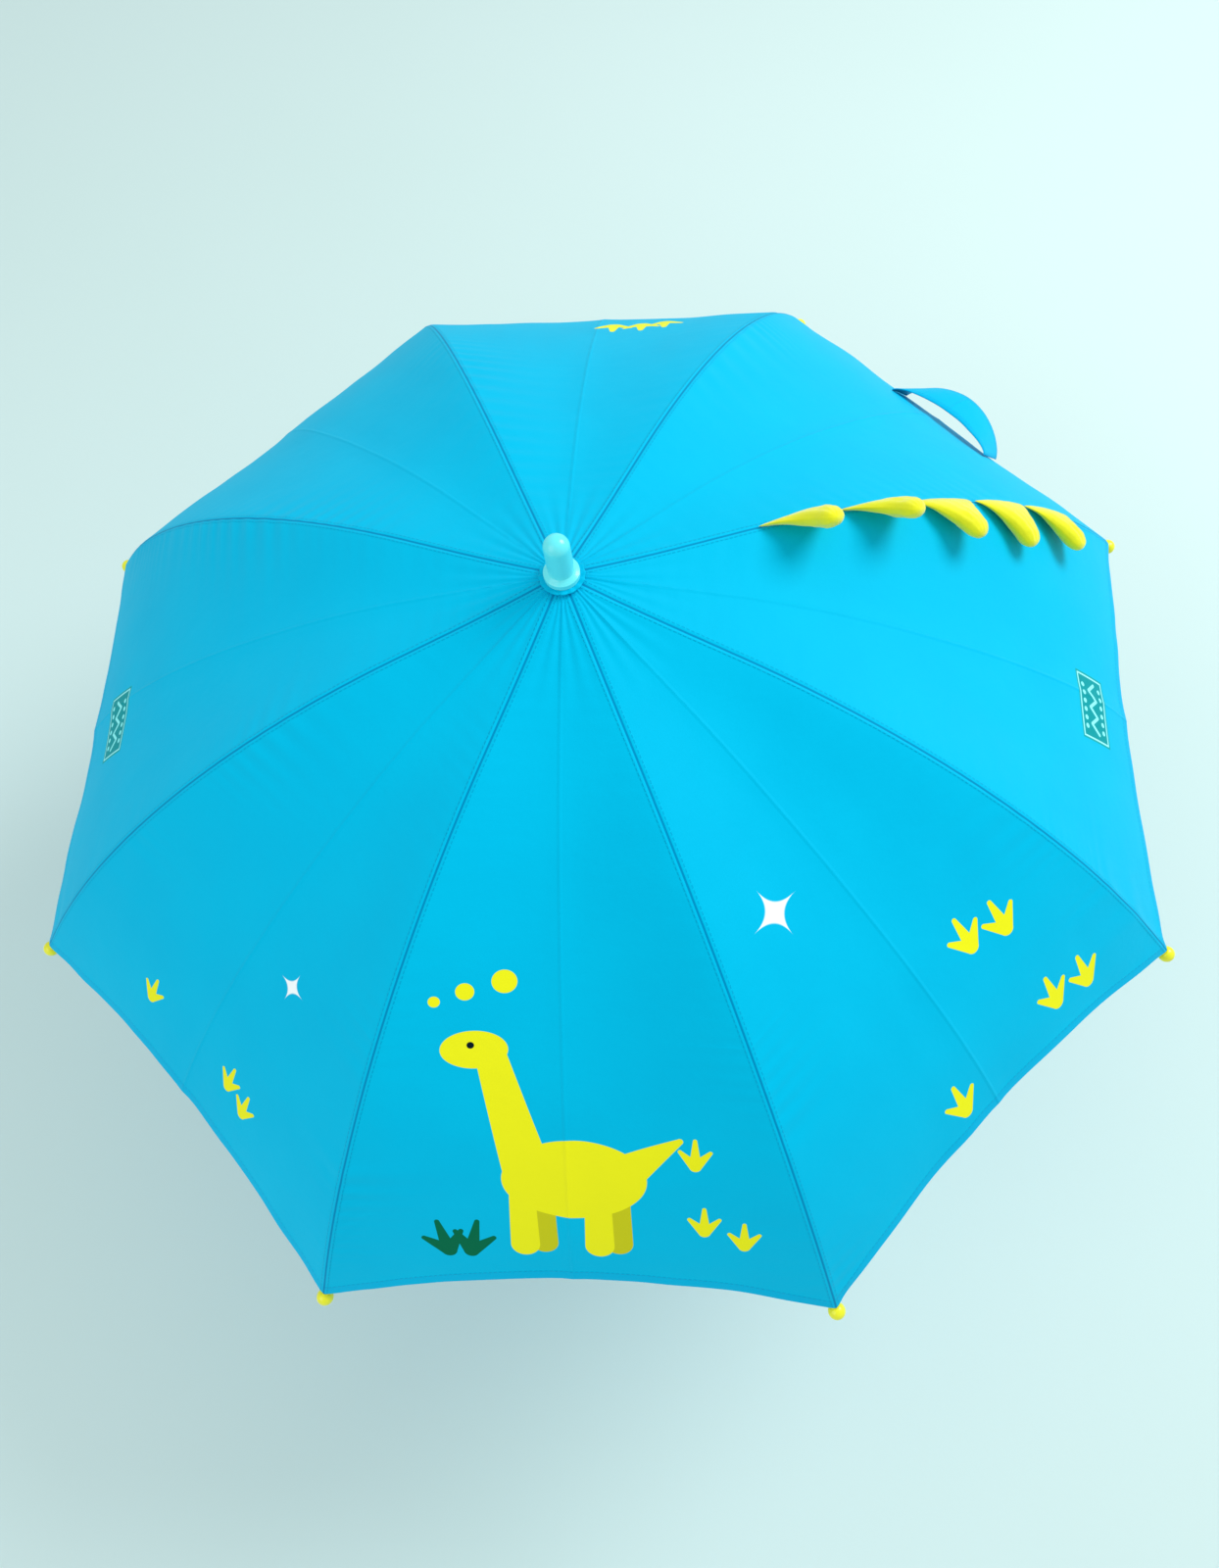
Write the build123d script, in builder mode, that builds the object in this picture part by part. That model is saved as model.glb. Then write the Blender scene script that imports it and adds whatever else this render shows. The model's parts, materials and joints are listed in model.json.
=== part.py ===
"""A child's eight-rib umbrella, open, with its shaft upright and its grip at the origin.

+Z runs up the shaft to the ferrule. Lengths are in millimetres, angles in degrees.
Every rib lies in a plane through the shaft, so most outlines are drawn in that plane, where
the first coordinate is the distance from the shaft's axis and the second is the height.
"""

import os
from math import atan2, cos, degrees, hypot, radians, sin, tan

from build123d import *

os.makedirs("parts", exist_ok=True)

# The open canopy
RIBS = 8
CANOPY_RADIUS = 425.0
FIRST_AZIMUTH = -112.5
PIVOT_HEIGHT = 530.0
PIVOT_RADIUS = 0.02 * CANOPY_RADIUS
STRAIGHT = 0.25 * CANOPY_RADIUS
START_SLOPE = 10.5
END_SLOPE = 55.0
BEND_RADIUS = (CANOPY_RADIUS - PIVOT_RADIUS - STRAIGHT * cos(radians(START_SLOPE))) / (
    sin(radians(END_SLOPE)) - sin(radians(START_SLOPE))
)
RIB_LENGTH = STRAIGHT + BEND_RADIUS * radians(END_SLOPE - START_SLOPE)
HALF_PANEL = 180.0 / RIBS
HEM_RISE = 0.030 * CANOPY_RADIUS
FABRIC = 0.6
FABRIC_LIFT = 2.9
CROWN_LIFT = 2.8
CROWN_REACH = 70.0
CENTRE_HOLE = 7.6
SEWN_GAP = 0.3
PANEL_STEPS = 12

# The ribs, stretchers and their pivots
JOINT_AT = 0.435 * CANOPY_RADIUS
FLEX_AT = 0.68 * CANOPY_RADIUS
RIB_WIDTH = 2.6
RIB_HEIGHT = 2.6
SHEET_METAL = 0.6
EYE_THICK = 1.2
EYE_RADIUS = 2.0
EYE_NECK = 7.0
SOLID_END = 6.0
KNUCKLE = 1.5
KNUCKLE_GAP = 2.4
PIN_RADIUS = 0.6
PIN_HOLE = 0.65
END_ROD = 2.2
ROD_PIN = 1.0
STRETCHER_INSIDE = 3.4
STRETCHER_WALL = 0.5
STRETCHER_TOP = 2.5
STRETCHER_FORK = 10.0
WIRE_RADIUS = 0.45
WIRE_HOLE = 0.62

# The shaft and what slides on it
SHAFT_RADIUS = 4.0
SHAFT_TOP = PIVOT_HEIGHT + 24.0
CROWN_RADIUS = 12.0
CROWN_HEIGHT = 8.0
SLOT_FLOOR = 5.6
SLOT_WIDTH = 1.8
RUNNER_BORE = SHAFT_RADIUS + 0.08
RUNNER_RADIUS = 9.0
SLEEVE = 40.0
THUMB_FLANGE = 4.0
CLOSED_ANGLE = 81.5
CATCH_WIDTH = 2.4
CATCH_LENGTH = 12.0
CATCH_REACH = 2.2
WINDOW_DROP = 30.0

# The ferrule, rosette, handle and ball tips
ROSETTE_RADIUS = 14.0
FERRULE_RADIUS = 8.0
FERRULE_COLLAR = 11.0
FERRULE_BASE = PIVOT_HEIGHT + 7.6
FERRULE_SHOULDER = FERRULE_BASE + 5.0
FERRULE_SHANK = 24.0
HANDLE_RADIUS = 9.0
HANDLE_TOP = 30.0
CROOK_RADIUS = 24.0
CROOK_HEIGHT = -40.0
CROOK_END = -28.0
COLLAR_LENGTH = 8.0
BALL_RADIUS = 5.5
BALL_OUT = 6.5

# What is sewn to the canopy. The fins flop over towards the front, the outer ones almost flat
SPIKE_RIB = 3
SPIKE_STARTS = (0.285, 0.42, 0.555, 0.69, 0.815)
SPIKE_LEANS = (41.0, 44.0, 66.0, 76.0, 74.0)
SPIKE_LENGTH = 0.113 * CANOPY_RADIUS
SPIKE_HEIGHT = 38.0
SPIKE_HEAD = 8.0
SPIKE_THICK = 12.0
SPIKE_LIFT = 4.5
STRAP_SPAN = 92.0
STRAP_WIDTH = 28.0
STRAP_RISE = 24.0
STRAP_GAP = 1.0
STRAP_FROM_HEM = 16.0
STRAP_ASIDE = -12.0


def slope_at(length):
    """How steeply the rib falls, that far along it."""
    return START_SLOPE + degrees(max(0.0, length - STRAIGHT) / BEND_RADIUS)


def on_rib(length, lift=0.0):
    """A point of the rib's plane, that far along its centre line and lifted square to it."""
    start, slope = radians(START_SLOPE), radians(slope_at(length))
    run = min(length, STRAIGHT)
    out = run * cos(start) + BEND_RADIUS * (sin(slope) - sin(start))
    down = run * sin(start) + BEND_RADIUS * (cos(start) - cos(slope))
    return (PIVOT_RADIUS + out + lift * sin(slope), PIVOT_HEIGHT - down + lift * cos(slope))


def azimuth(rib):
    return FIRST_AZIMUTH + rib * 360.0 / RIBS


def upright_plane(angle, offset=0.0):
    """The plane through the shaft at that azimuth: first coordinate outward, second up."""
    a = radians(angle)
    return Plane(origin=(0, 0, 0), x_dir=(cos(a), sin(a), 0), z_dir=(sin(a), -cos(a), 0)).offset(offset)


def world_point(angle, point, aside=0.0):
    """A point of an upright plane, in the part's own frame."""
    a = radians(angle)
    return (point[0] * cos(a) - aside * sin(a), point[0] * sin(a) + aside * cos(a), point[1])


def save(part, name):
    part.label = name
    export_step(part, f"parts/{name}.step")


def rib_outline(start, end, low, high):
    """Closed outline between two offsets of the rib's line, straight and then round."""
    if start < STRAIGHT:
        knee = min(end, STRAIGHT)
        Line(on_rib(start, high), on_rib(knee, high))
        Line(on_rib(start, low), on_rib(knee, low))
    if end > STRAIGHT:
        knee = max(start, STRAIGHT)
        middle = (knee + end) / 2
        ThreePointArc(on_rib(knee, high), on_rib(middle, high), on_rib(end, high))
        ThreePointArc(on_rib(knee, low), on_rib(middle, low), on_rib(end, low))
    Line(on_rib(start, low), on_rib(start, high))
    Line(on_rib(end, low), on_rib(end, high))


# The stretcher's line, from its rivet on the rib down to its eye on the runner
PIVOT = on_rib(0)
RIVET = on_rib(JOINT_AT)
ARM = hypot(RIVET[0] - PIVOT[0], RIVET[1] - PIVOT[1])
OPEN_ANGLE = degrees(atan2(PIVOT[1] - RIVET[1], RIVET[0] - PIVOT[0]))
FOLD = CLOSED_ANGLE - OPEN_ANGLE
RUNNER_HEIGHT = PIVOT_HEIGHT - 2 * ARM * sin(radians(OPEN_ANGLE))
RUNNER_CLOSED = PIVOT_HEIGHT - 2 * ARM * sin(radians(CLOSED_ANGLE))


def on_stretcher(along, up=0.0):
    """A point of the rib's plane, that far from the rivet towards the runner, and above that line."""
    a = radians(180 + OPEN_ANGLE)
    return (RIVET[0] + along * cos(a) + up * sin(a), RIVET[1] + along * sin(a) - up * cos(a))


def make_rib(rib):
    """The inner rib: a channel open below, an eye at the notch, a tongue at the flexing point."""
    plane = upright_plane(azimuth(rib))
    body_end = FLEX_AT - KNUCKLE_GAP
    half = RIB_HEIGHT / 2
    with BuildPart() as channel:
        with BuildSketch(plane):
            with BuildLine():
                rib_outline(EYE_NECK, body_end, -half, half)
            make_face()
        extrude(amount=RIB_WIDTH / 2, both=True)
        with BuildSketch(plane):
            with BuildLine():
                rib_outline(EYE_NECK + SOLID_END, body_end - SOLID_END, -half, half - SHEET_METAL)
            make_face()
        extrude(amount=RIB_WIDTH / 2 - SHEET_METAL, both=True, mode=Mode.SUBTRACT)
        with BuildSketch(plane):
            with BuildLine():
                rib_outline(0, EYE_NECK + 3, -0.6 * EYE_RADIUS, 0.6 * EYE_RADIUS)
            make_face()
            with Locations(PIVOT):
                Circle(EYE_RADIUS)
                Circle(WIRE_HOLE, mode=Mode.SUBTRACT)
        extrude(amount=EYE_THICK / 2, both=True)
        with BuildSketch(plane):
            with BuildLine():
                rib_outline(body_end - 2, FLEX_AT, -KNUCKLE, KNUCKLE)
            make_face()
            with Locations(on_rib(FLEX_AT)):
                Circle(KNUCKLE)
                Circle(PIN_HOLE, mode=Mode.SUBTRACT)
        extrude(amount=EYE_THICK / 2 - 0.1, both=True)
        with BuildSketch(plane):
            with Locations(RIVET):
                Circle(PIN_HOLE)
        extrude(amount=RIB_WIDTH, both=True, mode=Mode.SUBTRACT)
    save(channel.part, f"rib_{rib + 1}")


def make_rib_end(rib):
    """The outer rib: a slim rod forked over the inner rib's tongue, with its hinge pin."""
    angle = azimuth(rib)
    plane = upright_plane(angle)
    half = END_ROD / 2
    cheek = EYE_THICK / 2 + 0.2
    rod_end = RIB_LENGTH - 8
    with BuildPart() as rod:
        with BuildSketch(plane):
            with BuildLine():
                rib_outline(FLEX_AT + KNUCKLE_GAP, rod_end, -half, half)
            make_face()
        extrude(amount=half, both=True)
        for side in (cheek, -cheek - SHEET_METAL):
            with BuildSketch(upright_plane(angle, side)):
                with BuildLine():
                    rib_outline(FLEX_AT, FLEX_AT + SOLID_END, -half, half)
                make_face()
                with Locations(on_rib(FLEX_AT)):
                    Circle(KNUCKLE)
            extrude(amount=SHEET_METAL)
        with BuildSketch(plane):
            with Locations(on_rib(FLEX_AT)):
                Circle(PIN_RADIUS)
        extrude(amount=cheek + SHEET_METAL, both=True)
        with BuildSketch(end_plane(rib, -9)):
            Circle(ROD_PIN)
        extrude(amount=9 + BALL_OUT - 1)
    save(rod.part, f"rib_end_{rib + 1}")


def end_plane(rib, beyond):
    """The plane square to the rib's line, that far beyond the fabric's corner."""
    angle, slope = azimuth(rib), radians(END_SLOPE)
    tip = on_rib(RIB_LENGTH)
    origin = world_point(angle, (tip[0] + beyond * cos(slope), tip[1] - beyond * sin(slope)))
    a = radians(angle)
    along = (cos(slope) * cos(a), cos(slope) * sin(a), -sin(slope))
    return Plane(origin=origin, x_dir=(-sin(a), cos(a), 0), z_dir=along)


def make_ball_tip(rib):
    """The moulded ball pushed over the rod's round end, with a short neck."""
    with BuildPart(end_plane(rib, BALL_OUT)) as ball:
        Sphere(BALL_RADIUS)
        Cylinder(2.6, BALL_OUT - 0.4, align=(Align.CENTER, Align.CENTER, Align.MAX))
        with Locations((0, 0, -0.8)):
            Cylinder(ROD_PIN + 0.05, 12, align=(Align.CENTER, Align.CENTER, Align.MAX), mode=Mode.SUBTRACT)
    save(ball.part, f"tip_{rib + 1}")


def make_stretcher(rib):
    """A channel open below, forked over the rib and riveted to it, with an eye at the runner."""
    angle = azimuth(rib)
    plane = upright_plane(angle)
    inside = STRETCHER_INSIDE / 2
    body_end = ARM - EYE_NECK
    with BuildPart() as channel:
        for side in (inside, -inside - STRETCHER_WALL):
            with BuildSketch(upright_plane(angle, side)):
                with BuildLine():
                    Polyline(
                        on_stretcher(0, 1.7),
                        on_stretcher(STRETCHER_FORK, STRETCHER_TOP),
                        on_stretcher(body_end, STRETCHER_TOP),
                        on_stretcher(body_end, -2.0),
                        on_stretcher(STRETCHER_FORK, -2.0),
                        on_stretcher(0, -1.7),
                        close=True,
                    )
                make_face()
                with Locations(RIVET):
                    Circle(1.7)
                    Circle(PIN_HOLE, mode=Mode.SUBTRACT)
            extrude(amount=STRETCHER_WALL)
        with BuildSketch(plane):
            with BuildLine():
                Polyline(
                    on_stretcher(STRETCHER_FORK, STRETCHER_TOP),
                    on_stretcher(body_end, STRETCHER_TOP),
                    on_stretcher(body_end, STRETCHER_TOP - STRETCHER_WALL),
                    on_stretcher(STRETCHER_FORK, STRETCHER_TOP - STRETCHER_WALL),
                    close=True,
                )
            make_face()
        extrude(amount=inside + STRETCHER_WALL, both=True)
        with BuildSketch(plane):
            with BuildLine():
                Polyline(
                    on_stretcher(ARM, 1.2),
                    on_stretcher(body_end, STRETCHER_TOP - 0.2),
                    on_stretcher(body_end - 8, STRETCHER_TOP - 0.2),
                    on_stretcher(body_end - 8, -1.2),
                    on_stretcher(ARM, -1.2),
                    close=True,
                )
            make_face()
            with Locations(on_stretcher(ARM)):
                Circle(EYE_RADIUS)
                Circle(WIRE_HOLE, mode=Mode.SUBTRACT)
        extrude(amount=EYE_THICK / 2, both=True)
        # The rivet is a second solid: a pin through both cheeks and the rib, with a head each side
        outside = inside + STRETCHER_WALL + 0.05
        with BuildSketch(plane):
            with Locations(RIVET):
                Circle(PIN_RADIUS)
        extrude(amount=outside, both=True)
        for side in (outside, -outside - 0.5):
            with BuildSketch(upright_plane(angle, side)):
                with Locations(RIVET):
                    Circle(1.2)
            extrude(amount=0.5)
    save(channel.part, f"stretcher_{rib + 1}")


def fabric_lift(length):
    """How far the cloth lies above the rib's line: more over the notch, which it covers."""
    return FABRIC_LIFT + CROWN_LIFT * max(0.0, 1 - length / CROWN_REACH) ** 2


def panel_point(length, lift):
    """A point of a panel's section, which is the rib's line seen square to the panel's chords."""
    out, up = on_rib(length, fabric_lift(length) + lift)
    return (out * cos(radians(HALF_PANEL)), up)


def half_panel(rib, side):
    """The half panel on one side of a rib, up to the panel's middle and the hem's scallop."""
    stations = [RIB_LENGTH * i / PANEL_STEPS for i in range(PANEL_STEPS + 1)]
    hem_chord = CANOPY_RADIUS * cos(radians(HALF_PANEL))
    half_chord = CANOPY_RADIUS * sin(radians(HALF_PANEL))
    hem_radius = (half_chord**2 + HEM_RISE**2) / (2 * HEM_RISE)
    widening = tan(radians(HALF_PANEL))
    far = CANOPY_RADIUS * 1.2
    middle = azimuth(rib) + side * HALF_PANEL
    a = radians(middle)
    with BuildPart() as half:
        with BuildSketch(upright_plane(middle)):
            with BuildLine():
                Polyline(*[panel_point(s, FABRIC) for s in stations])
                Polyline(*[panel_point(s, 0) for s in stations])
                Line(panel_point(0, 0), panel_point(0, FABRIC))
                Line(panel_point(RIB_LENGTH, 0), panel_point(RIB_LENGTH, FABRIC))
            make_face()
        extrude(amount=half_chord * 1.1, both=True)
        with BuildSketch(Plane(origin=(0, 0, 0), x_dir=(cos(a), sin(a), 0), z_dir=(0, 0, 1))):
            with BuildLine():
                Polyline(
                    (SEWN_GAP / widening, -side * SEWN_GAP),
                    (far, -side * SEWN_GAP),
                    (far, -side * far * widening),
                    close=True,
                )
            make_face()
            with Locations((hem_chord - HEM_RISE + hem_radius, 0)):
                Circle(hem_radius, mode=Mode.SUBTRACT)
            Circle(CENTRE_HOLE, mode=Mode.SUBTRACT)
        extrude(amount=PIVOT_HEIGHT * 1.2, mode=Mode.INTERSECT)
    return half.part


def make_canopy_gore(rib):
    """The cloth sewn to one rib: half a panel each side."""
    with BuildPart() as gore:
        add(half_panel(rib, 1))
        add(half_panel(rib, -1))
    save(gore.part, f"canopy_{rib + 1}")


def crown_teeth(height):
    """Cuts the slots and the wire's groove into the crown of the part being built."""
    with PolarLocations(SLOT_FLOOR + 5, RIBS, start_angle=FIRST_AZIMUTH):
        with Locations((0, 0, height)):
            Box(10, SLOT_WIDTH, CROWN_HEIGHT + 0.2, mode=Mode.SUBTRACT)
    with Locations((0, 0, height)):
        Torus(PIVOT_RADIUS, WIRE_HOLE, mode=Mode.SUBTRACT)


def make_wire(height, name):
    with BuildPart(Plane.XY.offset(height)) as wire:
        Torus(PIVOT_RADIUS, WIRE_RADIUS)
    save(wire.part, name)


def make_notch():
    """The crown fixed to the shaft's top, which the ribs hang from."""
    with BuildPart() as notch:
        with Locations((0, 0, PIVOT_HEIGHT)):
            Cylinder(CROWN_RADIUS, CROWN_HEIGHT)
        with Locations((0, 0, PIVOT_HEIGHT - CROWN_HEIGHT / 2)):
            Cylinder(7.0, 8, align=(Align.CENTER, Align.CENTER, Align.MAX))
        crown_teeth(PIVOT_HEIGHT)
        with Locations((0, 0, PIVOT_HEIGHT)):
            Cylinder(SHAFT_RADIUS, 40, mode=Mode.SUBTRACT)
    save(notch.part, "top_notch")
    make_wire(PIVOT_HEIGHT, "notch_wire")


def make_runner():
    """The sliding crown with its sleeve, thumb flange and catch window."""
    top = RUNNER_HEIGHT - CROWN_HEIGHT / 2
    with BuildPart() as runner:
        with Locations((0, 0, RUNNER_HEIGHT)):
            Cylinder(CROWN_RADIUS, CROWN_HEIGHT)
        with Locations((0, 0, top)):
            Cylinder(RUNNER_RADIUS, SLEEVE, align=(Align.CENTER, Align.CENTER, Align.MAX))
        with Locations((0, 0, top - SLEEVE)):
            Cylinder(CROWN_RADIUS, THUMB_FLANGE, align=(Align.CENTER, Align.CENTER, Align.MAX))
        fillet(runner.edges().filter_by(GeomType.CIRCLE).group_by(Axis.Z)[0], 1.2)
        crown_teeth(RUNNER_HEIGHT)
        with Locations((0, 0, RUNNER_HEIGHT)):
            Cylinder(RUNNER_BORE, 200, mode=Mode.SUBTRACT)
        with Locations((0, -RUNNER_RADIUS, RUNNER_HEIGHT - WINDOW_DROP)):
            Box(CATCH_WIDTH + 1.0, 2 * RUNNER_RADIUS, CATCH_LENGTH + 3, mode=Mode.SUBTRACT)
    save(runner.part, "runner")
    make_wire(RUNNER_HEIGHT, "runner_wire")


# Each catch's flat end faces the runner's edge that it holds
TOP_CATCH_Z = RUNNER_HEIGHT - CROWN_HEIGHT / 2 - SLEEVE - THUMB_FLANGE - 0.3
BOTTOM_CATCH_Z = RUNNER_CLOSED - WINDOW_DROP - CATCH_LENGTH / 2


def make_catch(flat_end, points_down, name):
    """A spring catch in the shaft's front: flat on the end that holds, sloped on the other."""
    way = -1 if points_down else 1
    with BuildPart() as catch:
        with BuildSketch(upright_plane(-90)):
            with BuildLine():
                Polyline(
                    (1.0, flat_end),
                    (SHAFT_RADIUS + CATCH_REACH, flat_end),
                    (SHAFT_RADIUS + CATCH_REACH, flat_end + way * 2.5),
                    (SHAFT_RADIUS - 0.1, flat_end + way * CATCH_LENGTH),
                    (1.0, flat_end + way * CATCH_LENGTH),
                    close=True,
                )
            make_face()
        extrude(amount=CATCH_WIDTH / 2, both=True)
    save(catch.part, name)


def make_shaft():
    """The tube's solid stand-in, slotted for its two catches."""
    with BuildPart() as shaft:
        with Locations((0, 0, -20)):
            Cylinder(SHAFT_RADIUS, SHAFT_TOP + 20, align=(Align.CENTER, Align.CENTER, Align.MIN))
        chamfer(shaft.edges().filter_by(GeomType.CIRCLE), 0.5)
        for middle in (TOP_CATCH_Z - CATCH_LENGTH / 2, BOTTOM_CATCH_Z + CATCH_LENGTH / 2):
            with Locations((0, -2, middle)):
                Box(CATCH_WIDTH + 0.8, 7.4, CATCH_LENGTH + 0.8, mode=Mode.SUBTRACT)
    save(shaft.part, "shaft")


def make_ferrule():
    """The moulded cap over the shaft's end: a collar, a round shank and a domed top."""
    shank_top = FERRULE_SHOULDER + FERRULE_SHANK
    with BuildPart() as ferrule:
        with BuildSketch(Plane.XZ):
            with BuildLine():
                Polyline(
                    (SHAFT_RADIUS, FERRULE_BASE),
                    (FERRULE_COLLAR, FERRULE_BASE),
                    (FERRULE_COLLAR, FERRULE_SHOULDER - 1.5),
                )
                Line((FERRULE_COLLAR, FERRULE_SHOULDER - 1.5), (FERRULE_RADIUS + 1, FERRULE_SHOULDER))
                Line((FERRULE_RADIUS + 1, FERRULE_SHOULDER), (FERRULE_RADIUS, FERRULE_SHOULDER + 1))
                Line((FERRULE_RADIUS, FERRULE_SHOULDER + 1), (FERRULE_RADIUS, shank_top))
                RadiusArc((FERRULE_RADIUS, shank_top), (0, shank_top + FERRULE_RADIUS), -FERRULE_RADIUS)
                Polyline(
                    (0, shank_top + FERRULE_RADIUS),
                    (0, SHAFT_TOP + 0.2),
                    (SHAFT_RADIUS, SHAFT_TOP + 0.2),
                    (SHAFT_RADIUS, FERRULE_BASE),
                )
            make_face()
        revolve(axis=Axis.Z)
    save(ferrule.part, "ferrule")
    with BuildPart(Plane.XY.offset(FERRULE_BASE)) as rosette:
        Cylinder(ROSETTE_RADIUS, 0.8, align=(Align.CENTER, Align.CENTER, Align.MAX))
        Cylinder(SHAFT_RADIUS, 4, mode=Mode.SUBTRACT)
    save(rosette.part, "rosette")


def make_handle():
    """A round crook handle with a socket for the shaft, and the collar over its mouth."""
    with BuildPart() as handle:
        with BuildLine(Plane.XZ):
            Line((0, HANDLE_TOP), (0, CROOK_HEIGHT))
            ThreePointArc(
                (0, CROOK_HEIGHT),
                (CROOK_RADIUS, CROOK_HEIGHT - CROOK_RADIUS),
                (2 * CROOK_RADIUS, CROOK_HEIGHT),
            )
            Line((2 * CROOK_RADIUS, CROOK_HEIGHT), (2 * CROOK_RADIUS, CROOK_END))
        with BuildSketch(Plane.XY.offset(HANDLE_TOP)):
            Circle(HANDLE_RADIUS)
        sweep()
        with Locations((2 * CROOK_RADIUS, 0, CROOK_END)):
            Sphere(HANDLE_RADIUS)
        fillet(handle.edges().filter_by(GeomType.CIRCLE).group_by(Axis.Z)[-1], 2.5)
        with Locations((0, 0, -20)):
            Cylinder(SHAFT_RADIUS, 60, align=(Align.CENTER, Align.CENTER, Align.MIN), mode=Mode.SUBTRACT)
    save(handle.part, "handle")
    with BuildPart(Plane.XY.offset(HANDLE_TOP)) as collar:
        Cylinder(6.5, COLLAR_LENGTH, align=(Align.CENTER, Align.CENTER, Align.MIN))
        fillet(collar.edges().group_by(Axis.Z)[-1], 1.5)
        Cylinder(SHAFT_RADIUS, 40, mode=Mode.SUBTRACT)
    save(collar.part, "handle_collar")


def fin_plane(number):
    """The plane a fin lies in: first coordinate along the seam, second up the leaning fin."""
    lean = radians(SPIKE_LEANS[number])
    lift = SPIKE_LIFT + SPIKE_THICK / 2 * sin(lean)
    start = SPIKE_STARTS[number] * CANOPY_RADIUS
    first, last = on_rib(start, lift), on_rib(start + SPIKE_LENGTH, lift)
    slope = atan2(first[1] - last[1], last[0] - first[0])
    a = radians(azimuth(SPIKE_RIB))
    along = Vector(cos(slope) * cos(a), cos(slope) * sin(a), -sin(slope))
    outward = Vector(sin(slope) * cos(a), sin(slope) * sin(a), cos(slope))
    aside = Vector(sin(a), -cos(a), 0)
    up = outward * cos(lean) + aside * sin(lean)
    return Plane(origin=world_point(azimuth(SPIKE_RIB), first), x_dir=along, z_dir=along.cross(up))


def make_spikes(numbers, name):
    """Stuffed fins along one seam, each a thorn with a round head that leans over sideways."""
    crest = 0.6 * SPIKE_LENGTH
    with BuildPart() as spikes:
        for number in numbers:
            with BuildSketch(fin_plane(number)):
                with BuildLine():
                    back = (crest - SPIKE_HEAD, SPIKE_HEIGHT - SPIKE_HEAD)
                    front = (crest + SPIKE_HEAD, SPIKE_HEIGHT - SPIKE_HEAD)
                    ThreePointArc((0, 0), (0.17 * SPIKE_LENGTH, 0.45 * SPIKE_HEIGHT), back)
                    ThreePointArc(back, (crest, SPIKE_HEIGHT), front)
                    ThreePointArc(front, (0.84 * SPIKE_LENGTH, 0.35 * SPIKE_HEIGHT), (SPIKE_LENGTH, 0))
                    Line((SPIKE_LENGTH, 0), (0, 0))
                make_face()
            extrude(amount=SPIKE_THICK / 2, both=True)
    save(spikes.part, name)


def surface_plane(angle, length, lift, aside):
    """A plane square to the panel's fall line there: first coordinate along the hem, second outward."""
    a = radians(angle)
    slope = atan2(tan(radians(slope_at(length))), cos(radians(HALF_PANEL)))
    along = (cos(slope) * cos(a), cos(slope) * sin(a), -sin(slope))
    origin = world_point(angle, panel_point(length, lift), aside)
    return Plane(origin=origin, x_dir=(-sin(a), cos(a), 0), z_dir=along)


def make_strap():
    """The tie strap, sewn at its ends near the hem of a panel, and arching off it."""
    middle = azimuth(SPIKE_RIB) + HALF_PANEL
    level = RIB_LENGTH - HEM_RISE - STRAP_FROM_HEM - STRAP_WIDTH / 2
    place = surface_plane(middle, level, FABRIC, STRAP_ASIDE)
    half = STRAP_SPAN / 2
    with BuildPart() as strap:
        with BuildSketch(place):
            with BuildLine():
                ThreePointArc((-half, STRAP_GAP), (0, STRAP_RISE), (half, STRAP_GAP))
                ThreePointArc((-half + 2, STRAP_GAP), (0, STRAP_RISE - 1), (half - 2, STRAP_GAP))
                Line((-half, STRAP_GAP), (-half + 2, STRAP_GAP))
                Line((half - 2, STRAP_GAP), (half, STRAP_GAP))
            make_face()
        extrude(amount=STRAP_WIDTH / 2, both=True)
    save(strap.part, "tie_strap")


make_shaft()
make_notch()
make_runner()
make_catch(TOP_CATCH_Z, True, "top_catch")
make_catch(BOTTOM_CATCH_Z, False, "bottom_catch")
make_ferrule()
make_handle()
for number in range(RIBS):
    make_rib(number)
    make_rib_end(number)
    make_ball_tip(number)
    make_stretcher(number)
    make_canopy_gore(number)
make_spikes((0, 1, 2), "spikes_inner")
make_spikes((3, 4), "spikes_outer")
make_strap()
print(f"open angle {OPEN_ANGLE:.4f}, fold {FOLD:.4f}, arm {ARM:.4f}, rib length {RIB_LENGTH:.3f}")
print(f"runner {RUNNER_HEIGHT:.3f} open, {RUNNER_CLOSED:.3f} closed, rivet {RIVET}")
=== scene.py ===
"""The look of a child's open umbrella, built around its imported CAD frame, in metres."""

import json
import math

import bmesh
import bpy
import numpy as np
from mathutils import Matrix, Vector, noise


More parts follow.
